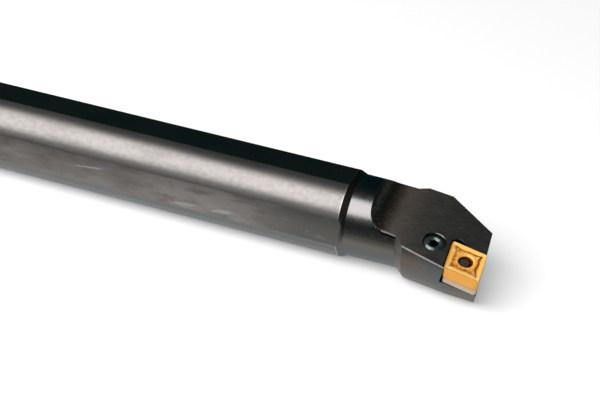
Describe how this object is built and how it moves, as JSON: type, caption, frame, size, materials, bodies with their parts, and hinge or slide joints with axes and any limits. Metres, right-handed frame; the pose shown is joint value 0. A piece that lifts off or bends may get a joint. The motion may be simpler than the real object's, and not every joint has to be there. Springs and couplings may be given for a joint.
{
  "type": "boring bar",
  "caption": "Left-hand indexable boring bar with a round shank with flats, a stepped neck, and a lever-clamped rhombic insert at a 95 degree approach.",
  "frame": {"origin": "centre of the shank's rear end face, on the shank's axis", "axes": "+X along the bar towards the cutting end, +Z out of the shank's top flat, -Y towards the cutting side"},
  "size_m": [0.2999, 0.0379, 0.03],
  "materials": {
    "holder_steel": "blackened tool steel, satin shank, fine milling marks on the head",
    "insert_coating": "golden nitride coating on pressed and sintered carbide, satin",
    "shim_carbide": "ground, uncoated",
    "spring_steel": "hardened, plain",
    "screw_steel": "glossy black oxide with a light oil film",
    "lever_steel": "hardened, grey"
  },
  "bodies": {
    "bar": {"holder_body": "holder_steel", "insert": "insert_coating", "shim": "shim_carbide", "shim_pin": "spring_steel"},
    "screw": {"lever_screw": "screw_steel"},
    "lever": {"clamp_lever": "lever_steel"}
  },
  "joints": [
    {"name": "screw_lift", "type": "slide", "parent": "bar", "child": "screw", "axis": [0.1105, -0.2168, 0.9699], "range_m": [0, 0.001]},
    {"name": "lever_rock", "type": "hinge", "parent": "bar", "child": "lever", "pos_m": [0.29185, -0.01244, -0.00992], "axis": [0.3444, 0.9238, 0.1673], "range_deg": [0, 5.46]}
  ],
  "couplings": [
    {"joint": "lever_rock", "follows": "screw_lift", "rad_per_m": 95.238}
  ]
}
